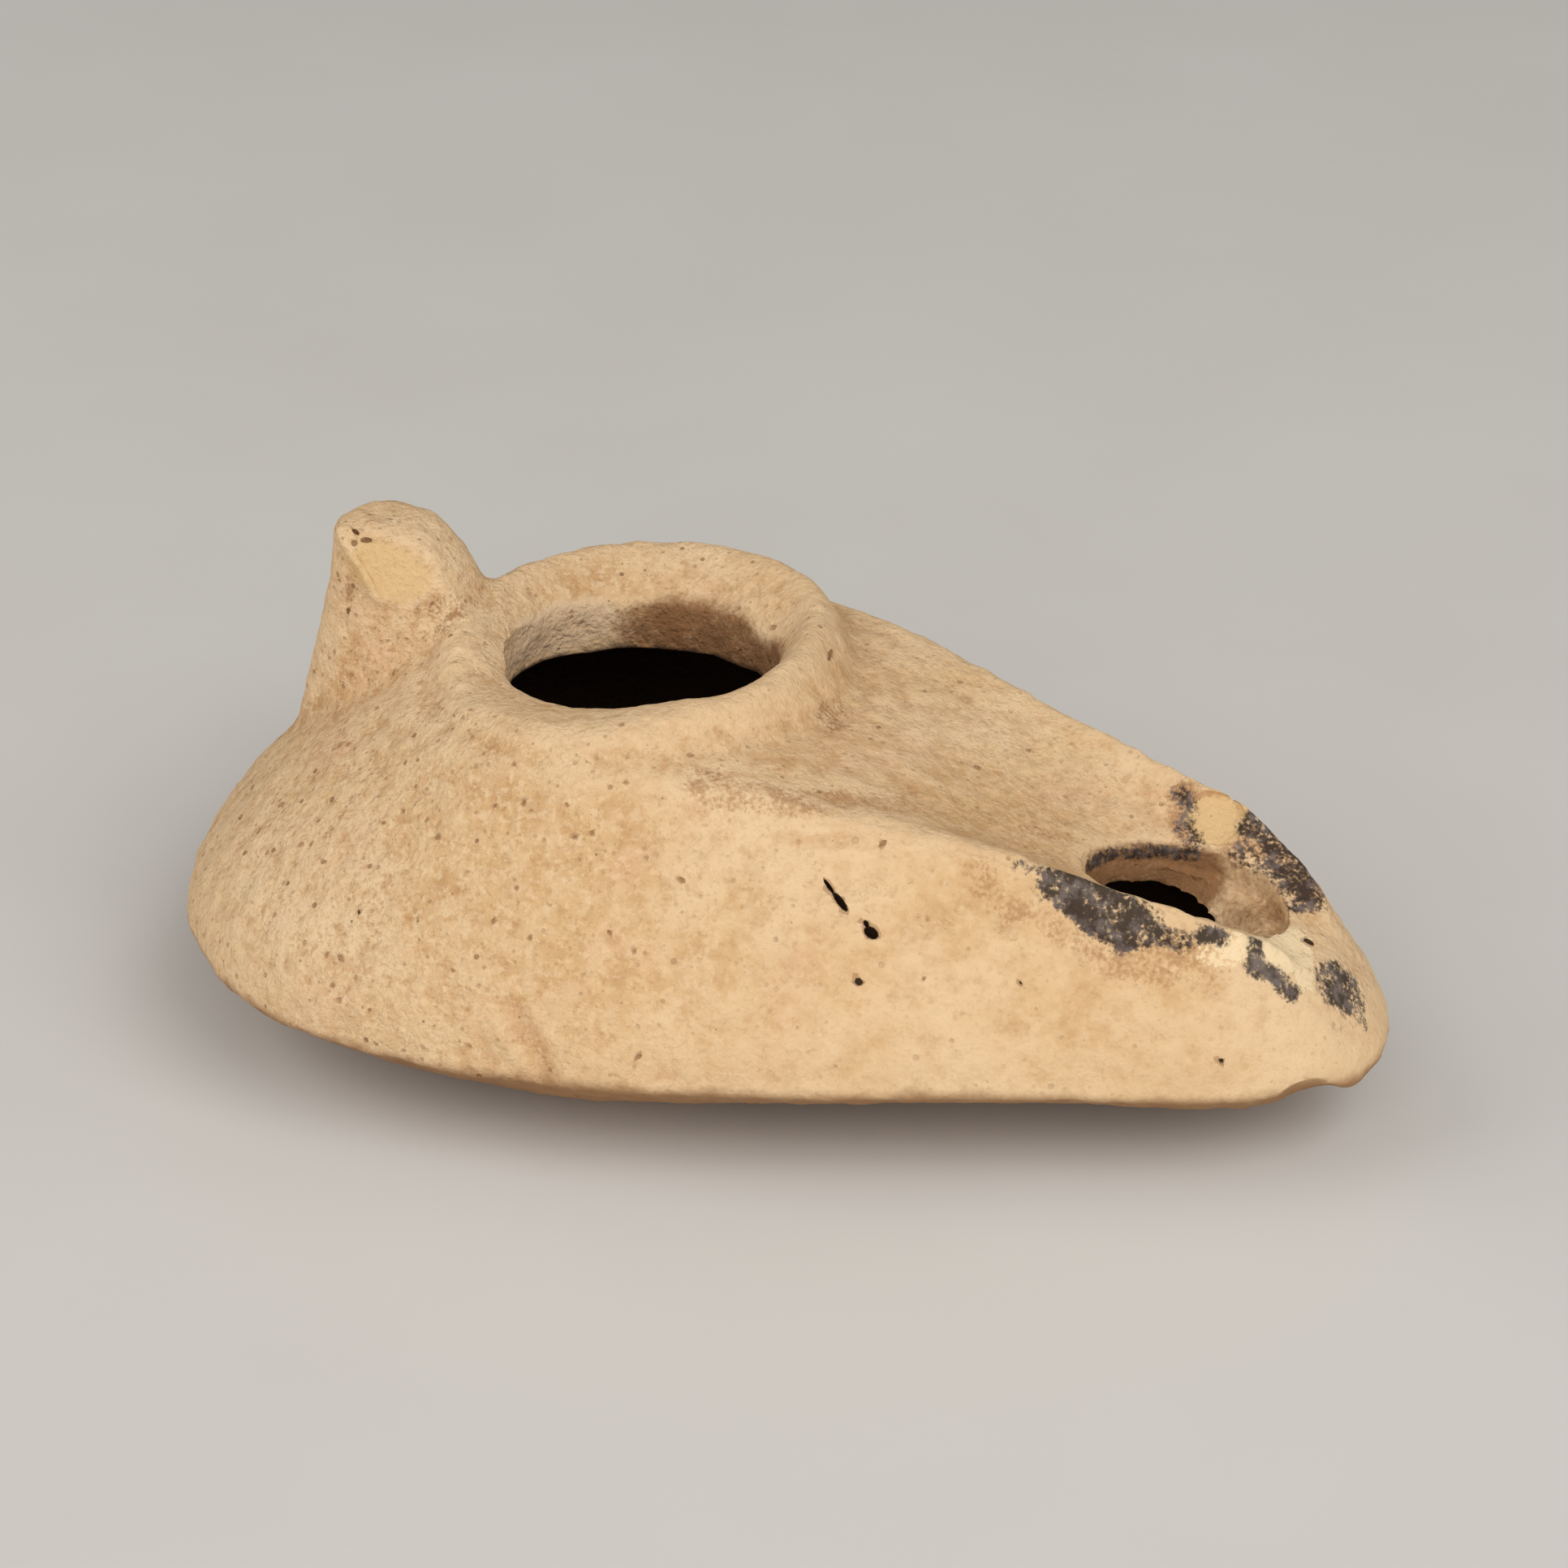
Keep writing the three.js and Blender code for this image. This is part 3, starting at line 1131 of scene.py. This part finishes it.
    def scar(self, flake: Flake) -> bpy.types.Object:
        """Makes the cutter that leaves the scar of a flake: a slab with an uneven face.

        Args:
            flake: The scar.

        Returns:
            The cutter.
        """
        deselect()
        bpy.ops.mesh.primitive_circle_add(vertices=len(flake.outline), radius=1, fill_type="NGON")
        slab = bpy.context.object
        facing = Vector(flake.facing).normalized()
        right = Vector((-facing.y, facing.x, 0)).normalized()
        above = facing.cross(right)
        for vertex, (across, up) in zip(slab.data.vertices, flake.outline):
            vertex.co = metres(flake.point) + (right * across + above * up) * MM
        bpy.ops.object.mode_set(mode="EDIT")
        bpy.ops.mesh.select_all(action="SELECT")
        away = facing * flake.thickness * MM
        bpy.ops.mesh.extrude_region_move(
            TRANSFORM_OT_translate={"value": away, "orient_type": "GLOBAL"}
        )
        bpy.ops.mesh.select_all(action="SELECT")
        bpy.ops.mesh.normals_make_consistent(inside=False)
        bpy.ops.object.mode_set(mode="OBJECT")
        remesh(slab, self.scar_voxel)
        roughen(slab, "broken_face", 1.1, flake.rough * MM * SCAR_GAIN)
        return slab

    def drill(self, bore: Bore) -> bpy.types.Object:
        """Makes the cutter that opens a worn hole.

        Args:
            bore: The hole.

        Returns:
            The cutter.
        """
        deselect()
        bpy.ops.mesh.primitive_cylinder_add(
            vertices=96, radius=1, depth=1, location=metres(bore.middle),
            rotation=(0, math.radians(bore.tilt), math.radians(bore.turn)),
            scale=metres((*bore.half, bore.depth)),
        )
        bpy.ops.object.transform_apply(location=True, rotation=True, scale=True)
        drill = bpy.context.object
        remesh(drill, self.bore_voxel)
        finish_modifier(drill, "SMOOTH", factor=0.5, iterations=4)
        roughen(drill, "worn_wall", 2.2, bore.wavy * MM * WALL_GAIN)
        return drill

    def cut(
        self, body: bpy.types.Object, gouges: list[Gouge], room: tuple[np.ndarray, np.ndarray]
    ) -> None:
        """Cuts the openings, the scars and the small holes out of the lamp.

        Args:
            body: The lamp.
            gouges: The holes.
            room: The lowest and the highest corner that the lamp may reach, in metres.
        """
        cutters = [self.drill(bore) for bore in self.bores]
        cutters += [self.scar(flake) for flake in self.flakes]
        for cutter in [*cutters, self.balls(gouges)]:
            finish_modifier(
                body, "BOOLEAN", operation="DIFFERENCE", object=cutter, solver="MANIFOLD"
            )
            bpy.data.objects.remove(cutter)
        write_points(body, np.clip(read_points(body), *room))

    def bends(
        self, body: bpy.types.Object, points: np.ndarray, normals: np.ndarray
    ) -> np.ndarray:
        """Measures how hollow the surface is, from how far evening it out would lift it.

        Args:
            body: The lamp.
            points: Its vertices, in millimetres.
            normals: The surface's directions there.

        Returns:
            One or more in a hollow, and as much below nought on a ridge.
        """
        edges = np.empty(len(body.data.edges) * 2, dtype=np.int64)
        body.data.edges.foreach_get("vertices", edges)
        first, second = edges.reshape(-1, 2).T
        count = len(points)
        neighbours = np.bincount(first, minlength=count) + np.bincount(second, minlength=count)
        even = points.copy()
        lifts = {}
        for rounds in range(1, self.broad_bend + 1):
            total = [
                np.bincount(first, even[second, axis], count)
                + np.bincount(second, even[first, axis], count)
                for axis in range(3)
            ]
            even = np.stack(total, axis=1) / neighbours[:, None]
            if rounds in (self.fine_bend, self.broad_bend):
                lifts[rounds] = ((even - points) * normals).sum(axis=1)
        fine, broad = lifts[self.fine_bend], lifts[self.broad_bend]
        return fine / self.fine_lift + broad / self.broad_lift

    def relief(self, body: bpy.types.Object, gouges: list[Gouge]) -> None:
        """Stores the traits of the surface for the finish to read, and the marks on it.

        Args:
            body: The lamp.
            gouges: The small holes, which are painted dark inside as shade.
        """
        points = read_points(body) / MM
        normals = read_points(body, "normal")
        hollow = self.bends(body, points, normals)
        upward = normals[:, 2] > 0.6
        rough = ramp(points[:, 0], self.smooth_from, self.smooth_run)
        pit_and_shade = np.zeros(len(points))
        for gouge in gouges:
            pit_and_shade[gouge.holds(points)] = gouge.shade
        for trait, values in (
            (Trait.INSIDE, self.chamber.holds(points, normals).astype(float)),
            (Trait.HOLLOW, np.clip(hollow, 0, 1)),
            (Trait.RAISED, np.clip(-hollow, 0, 1)),
            (Trait.BELOW, self.seam.below(points)),
            (Trait.ROUGH, np.maximum(rough, self.rough_top * upward)),
            (Trait.PIT_AND_SHADE, pit_and_shade),
        ):
            self.store(body, trait.value, values)
        for mark in Mark:
            bare = np.ones(len(points))
            for one in self.marks:
                if one.mark is mark:
                    bare *= 1 - one.share(points)
            self.store(body, mark.value, 1 - bare)

    def store(self, body: bpy.types.Object, name: str, values: np.ndarray) -> None:
        """Stores one value for each vertex under a name."""
        attribute = body.data.attributes.new(name, "FLOAT", "POINT")
        attribute.data.foreach_set("value", values.astype(np.float32))

    def build(self, clay: bpy.types.Material) -> bpy.types.Object:
        """Builds and dresses the lamp.

        Args:
            clay: Its material.

        Returns:
            The finished piece.
        """
        body = self.copy_of_frame()
        solid = read_points(body)
        room = (solid.min(axis=0), solid.max(axis=0) - 0.01 * MM)
        self.smooth(body)
        self.sculpt(body)
        self.thin(body)
        finish_modifier(body, "TRIANGULATE")
        strewn = self.pits.strew(read_points(body) / MM, read_points(body, "normal"))
        gouges = self.gouges + strewn
        self.cut(body, gouges, room)
        self.relief(body, gouges)
        pick(body)
        bpy.ops.object.shade_smooth_by_angle(angle=math.radians(self.corner))
        body.data.materials.clear()
        body.data.materials.append(clay)
        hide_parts("lamp")
        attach(body, "root")
        return body


def uneven_places() -> list[Push]:
    """Lists where the lamp is pushed out of its even mould shape.

    Returns:
        The pushes: at the back, on the ring, on the far ridge and under the tip.
    """
    return [
        Push((-34, -13, 15), (7, 8, 4), (0.2, 0.2, -0.8)),
        Push((-33, -13, 4), (7, 8, 3), (0.3, 0.2, 0.9)),
        Push((-11, -11, 31.8), (4, 4, 2.0), (0, 0, -1.0)),
        Push((-12.3, -2.5, 30.0), (1.8, 5, 2.4), (1.2, 0.1, -0.2)),
        Push((9, -12, 31.8), (5, 4, 2.5), (-0.5, 0.9, 0.7)),
        Push((63.0, -4.6, 6.8), (1.2, 1.6, 1.2), (0.1, -0.3, -0.7)),
        Push((14, 1, 32.0), (3.5, 8, 2.5), (-1.3, 0, 0.1)),
        Push((-25.6, -3.0, 38.4), (1.6, 2.0, 1.4), (-0.3, -0.2, 0.4)),
        Push((-16.5, 1.0, 38.0), (2.5, 3.0, 1.5), (0.2, 0.0, -0.8)),
        Push((49, 9.4, 22.4), (3.5, 2.5, 2.5), (0, 0.1, 0.9)),
        Push((60.5, -6.8, 6.4), (2.2, 3, 1.6), (-0.2, 0.3, 0.9)),
    ]


def beads() -> list[Bead]:
    """Lists the narrow ridges and grooves.

    Returns:
        The ridges and grooves: on the handle, the near ridge, the ring and the near wall.
    """
    return [
        Bead(
            ((-25.0, -3.6, 38.2), (-23.6, -4.4, 36.6), (-22.4, -4.8, 35.2), (-21.6, -5.0, 33.9)),
            0.5, 0.6,
        ),
        Bead(((-24.0, -4.6, 34.6), (-25.2, -4.6, 31.0)), 0.45, -0.3),
        Bead(((-17.2, -3.6, 34.6), (-17.6, -4.2, 33.6)), 0.5, 0.35),
        Bead(((26, -12.4, 27.2), (31, -11.0, 26.0), (36.5, -10.6, 25.0)), 0.9, 0.3),
        Bead(((-14.6, -4.5, 31.9), (-14.2, -8.0, 31.0), (-12.2, -11.6, 30.6)), 0.5, -0.15),
        Bead(((3.0, -30.6, 13.8), (4.4, -30.9, 11.4), (5.6, -31.1, 9.4)), 0.7, -0.55),
        Bead(((1.4, -30.6, 12.6), (3.0, -31.0, 10.0)), 0.9, 0.35),
    ]


def mouths() -> list[Bore]:
    """Lists the two openings, which keep a crisp edge.

    Returns:
        The filling hole and the wick hole.
    """
    return [
        Bore((-0.2, 0, 29.2), (11.3, 10.1), 6.4),
        Bore((48.1, -0.9, 20.6), (8.15, 5.7), 5.6, turn=13.0, tilt=12.0, wavy=0.2),
    ]


def scars() -> list[Flake]:
    """Lists the flat scars of lost flakes.

    Returns:
        The scars: on the handle and on the far rim of the wick hole.
    """
    return [
        Flake(
            (-18.9, -3.45, 35.35), (0.312, -0.858, 0.407),
            (
                (-5.4, 3.3), (-4.5, 1.5), (-3.5, -0.1), (-2.6, -1.9), (1.1, -2.3), (3.5, -1.0),
                (6.0, 0.0), (6.0, 4.6), (1.2, 3.5), (-3.2, 3.4),
            ),
            rough=0.05,
        ),
        Flake(
            (47.1, 7.2, 21.35), (0.10, -0.50, 0.86),
            (
                (-2.6, 1.4), (-2.0, -0.4), (-1.2, -2.3), (1.0, -2.3), (1.9, -1.0), (2.6, 0.4),
                (1.2, 2.4), (-1.2, 2.6),
            ),
            rough=0.06, thickness=2.0,
        ),
    ]


def wounds() -> list[Gouge]:
    """Lists the small holes and slits, and the notch under the tip.

    Returns:
        The holes.
    """
    slit = (0.71, -0.16, -0.68)
    return [
        Gouge((23.9, -17.8, 23.3), (0.7, 0.14, 1.2), slit),
        Gouge((25.0, -18.1, 22.3), (0.9, 0.27, 1.5), slit),
        Gouge((27.7, -18.4, 20.3), (0.62, 0.42, 1.6), (1, 0, -0.5)),
        Gouge((27.2, -18.2, 20.9), (0.3, 0.18, 0.8), (0.5, 0, -1)),
        Gouge((27.6, -20.6, 17.1), (0.35, 0.3, 0.5)),
        Gouge((39.1, -15.7, 17.0), (0.22, 0.13, 0.3)),
        Gouge((54.3, -11.7, 11.3), (0.24, 0.18, 0.3), facing=(0.4, -0.85, 0.3)),
        Gouge((56.9, -10.8, 9.7), (0.2, 0.15, 0.3), facing=(0.5, -0.8, 0.2)),
        Gouge((57.6, -0.3, 16.8), (0.55, 0.3, 0.6), (1, 0.6, -0.5), (0.41, 0, 0.91)),
        Gouge((15.2, 3.6, 31.8), (0.9, 0.18, 0.9), (0.15, -1, -0.1), (0.9, 0.2, 0.4), 0.7),
        Gouge((-24.7, -3.6, 38.3), (0.5, 0.16, 0.5), (0.3, 0, 1), (-0.1, -0.6, 0.7), 0.7),
        Gouge((-24.0, -3.4, 38.5), (0.45, 0.2, 0.5), (1, 0, -0.6), (-0.1, -0.6, 0.7), 0.7),
        Gouge((-23.0, -3.6, 38.1), (0.5, 0.18, 0.5), (1, 0, 0.5), (-0.1, -0.6, 0.7), 0.7),
        Gouge((60.4, -8.4, 7.7), (2.6, 1.5, 1.2), (0.7, 0.6, 0.1), (0.6, -0.7, -0.3), 0.4),
    ]


def marks() -> list[Patch | Streak]:
    """Lists the soot, stains, dirt, films and pale breaks, and the fuel stains with painted shadow
    in the throat and the wick hole.

    Returns:
        The patches and streaks.
    """
    soot = [
        (((37.2, -11.8, 24.9), (39.4, -11.0, 24.6)), 0.7, 0.6),
        (
            ((40.6, -11.0, 23.6), (42.6, -10.9, 22.6), (44.8, -10.7, 21.6), (46.6, -10.4, 21.0)),
            2.3, 1.0, 1.9,
        ),
        (((43.4, -11.6, 21.2), (45.6, -11.4, 20.2)), 1.6, 0.8),
        (((47.6, -10.3, 20.4), (50.0, -9.4, 19.9)), 1.3, 0.5),
        (((51.4, -8.4, 20.2), (52.6, -7.9, 20.0)), 1.0, 1.0),
        (((54.9, -6.6, 19.2), (55.2, -7.1, 18.3)), 0.9, 0.95),
        (((55.3, -7.4, 17.7), (57.0, -6.7, 16.7), (58.0, -6.4, 15.4)), 1.1, 1.0),
        (((60.4, -2.0, 14.4), (61.2, -1.3, 13.4)), 2.6, 1.0),
        (((62.3, -1.6, 11.6), (62.5, -1.8, 11.0)), 0.8, 0.6),
        (((43.7, 8.4, 22.6), (44.7, 7.2, 21.9), (45.0, 5.9, 21.2), (46.2, 5.0, 20.5)), 1.2, 0.65),
        (
            (
                (50.2, 7.6, 21.1), (51.6, 7.4, 20.8), (53.4, 6.6, 20.1), (55.0, 5.6, 19.1),
                (56.3, 4.4, 18.0),
            ),
            1.9, 0.85,
        ),
        (((39.7, -2.2, 20.5), (40.3, 0.2, 20.3), (42.7, 3.0, 19.9), (46.2, 4.6, 19.4)), 0.8, 0.8),
        (((49.8, 5.2, 20.0), (52.2, 5.0, 19.6), (54.2, 4.2, 18.9), (55.6, 2.6, 18.2)), 1.2, 0.75),
    ]
    stains = [
        (
            ((13.0, -17.0, 29.0), (17.2, -15.8, 28.9), (21.0, -13.8, 28.3), (25.6, -9.2, 26.9)),
            2.2, 0.5,
        ),
        (((27.0, -6.4, 26.2), (32.0, -3.6, 24.2), (36.6, -0.6, 22.4)), 2.6, 0.25),
        (((34.6, -13.2, 24.2), (37.6, -13.4, 22.0)), 1.8, 0.5),
        (((44.0, 8.3, 22.6), (44.8, 6.4, 21.5), (45.6, 5.6, 21.0)), 1.8, 1.0),
        (((49.6, 6.0, 20.6), (53.0, 6.2, 20.2), (56.0, 4.4, 18.6)), 2.6, 0.9),
        (((41.0, -12.4, 21.6), (46.0, -12.2, 18.8), (52.0, -9.6, 18.2)), 2.4, 0.5),
    ]
    dirt = [
        ((-15.8, -3.4, 32.8), (2.0, 2.4, 2.0), 0.45), ((17.8, -1.6, 29.2), (2.0, 2.6, 1.8), 0.6),
        ((16.2, 3.8, 32.0), (1.4, 2.0, 1.4), 0.6), ((-17.6, -3.9, 32.0), (2.2, 2, 2.2), 0.25),
        ((-24.6, -4.6, 33.0), (0.8, 1.2, 2.6), 0.6), ((13.0, -15.6, 29.9), (1.6, 1.8, 0.9), 0.5),
    ]
    return [
        *(Streak(Mark.SOOT, *each) for each in soot),
        *(Streak(Mark.STAIN, *each) for each in stains),
        *(Patch(Mark.DIRT, *each) for each in dirt),
        # fuel stain and the painted shadow that the ring casts into the far right of the throat
        Patch(Mark.OIL_AND_SHADOW, (1.8, 9.8, 27.6), (10.0, 4.2, 3.9), 0.95),
        Patch(Mark.OIL_AND_SHADOW, (10.4, 4.4, 28.0), (4.6, 6.0, 3.6), 0.9),
        # fuel stain and painted shade on the far wall of the wick hole
        Streak(
            Mark.OIL_AND_SHADOW, ((40.0, -1.0, 18.5), (42.5, 2.0, 18.2), (46.5, 4.0, 17.8)), 3.0, core=1.8
        ),
        Streak(Mark.OIL_AND_SHADOW, ((48.0, 4.4, 17.4), (52.5, 3.8, 16.6)), 3.0, 0.35, core=1.8),
        Patch(Mark.OIL_AND_SHADOW, (53.0, 0.0, 15.4), (4.5, 5.0, 3.0), 0.5),
        Patch(Mark.FRESH, (47.2, 7.3, 21.6), (2.9, 2.7, 2.6)),
        Patch(Mark.FRESH, (-20.6, -4.0, 36.0), (5, 2.0, 3.2), 0.8, core=1.4),
        Patch(Mark.PALE, (56.6, -3.0, 17.4), (2.9, 4.0, 2.4)),
        Streak(Mark.PALE, ((52.4, -8.8, 19.0), (54.0, -7.4, 19.2), (55.6, -6.0, 18.6)), 1.5, 0.7),
        Patch(Mark.PALE, (58.4, -4.4, 16.0), (1.8, 1.6, 1.4), 0.8),
        Patch(Mark.FILM, (-9, 3, 28.6), (6, 9, 3), 0.8),
        Patch(Mark.WIPED, (22, -9, 27.5), (16, 11, 4.5)),
    ]


# ---- the studio ----


@dataclass(frozen=True)
class SoftLight:
    """A soft square light: its direction in degrees, distance and width in metres, and watts."""

    name: str
    azimuth: float
    elevation: float
    reach: float
    width: float
    power: float


@dataclass
class Studio:
    """A pale floor, soft lights and the camera, which looks at the aim from so many millimetres."""

    azimuth: float = 23.0
    elevation: float = 28.0
    focal: float = 106.2
    distance: float = 375.0
    aim: Place = (13.24, -1.56, 22.07)
    floor_width: float = 6.0
    lights: tuple[SoftLight, ...] = (
        SoftLight("key", 70, 46, 0.9, 0.7, 3.4),
        SoftLight("front", 18, 28, 1.0, 0.9, 4.2),
        SoftLight("fill", -60, 35, 1.0, 0.8, 2.9),
    )
    room_colour: Colour = srgb(236, 233, 228)
    room_light: float = 0.32

    def floor(self) -> None:
        """Lays the pale floor under the lamp."""
        deselect()
        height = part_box("lamp")[0].z
        bpy.ops.mesh.primitive_plane_add(size=self.floor_width, location=(0, 0, height))
        ground = bpy.context.object
        ground.name = "floor"
        ground.data.materials.append(PaleFloor().material())

    def light(self, soft: SoftLight) -> None:
        """Adds a light that faces the lamp.

        Args:
            soft: The light.
        """
        deselect()
        away = self.direction(soft.azimuth, soft.elevation)
        bpy.ops.object.light_add(type="AREA", location=metres(self.aim) + away * soft.reach)
        lamp = bpy.context.object
        lamp.name = soft.name
        lamp.rotation_euler = away.to_track_quat("Z", "Y").to_euler()
        lamp.data.size = soft.width
        lamp.data.energy = soft.power

    def direction(self, azimuth: float, elevation: float) -> Vector:
        """Points from the lamp towards a place round it.

        Args:
            azimuth: 0 in front of its near side and 90 at the tip of the nozzle, in degrees.
            elevation: Height above the floor, in degrees.

        Returns:
            A direction of length one.
        """
        a, e = math.radians(azimuth), math.radians(elevation)
        return Vector((math.sin(a) * math.cos(e), -math.cos(a) * math.cos(e), math.sin(e)))

    def camera(self) -> None:
        """Places the camera and makes it the scene's."""
        deselect()
        turn = Euler((math.radians(90 - self.elevation), 0, math.radians(self.azimuth)))
        away = self.direction(self.azimuth, self.elevation)
        place = metres(self.aim) + away * self.distance * MM
        bpy.ops.object.camera_add(location=place, rotation=turn)
        camera = bpy.context.object
        camera.data.lens = self.focal
        camera.data.sensor_width = 36
        camera.data.clip_start = 0.01
        bpy.context.scene.camera = camera

    def build(self) -> None:
        """Sets up floor, camera, lights and the soft light all round."""
        self.floor()
        self.camera()
        for soft in self.lights:
            self.light(soft)
        world = bpy.data.worlds.new("soft_room")
        world.use_nodes = True
        background = world.node_tree.nodes["Background"]
        background.inputs["Color"].default_value = self.room_colour
        background.inputs["Strength"].default_value = self.room_light
        bpy.context.scene.world = world
        bpy.context.scene.view_settings.view_transform = "Standard"


def main() -> None:
    """Builds the studio and the lamp."""
    logging.basicConfig(level=logging.INFO, format="%(message)s")
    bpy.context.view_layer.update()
    Studio().build()
    clay = FiredClay().material()
    body = LampBody(
        pushes=uneven_places(), beads=beads(), flakes=scars(), bores=mouths(), gouges=wounds(),
        marks=marks(),
    ).build(clay)
    body.data.calc_loop_triangles()
    log.info("%s: %d triangles", body.name, len(body.data.loop_triangles))


if __name__ == "__main__":
    main()
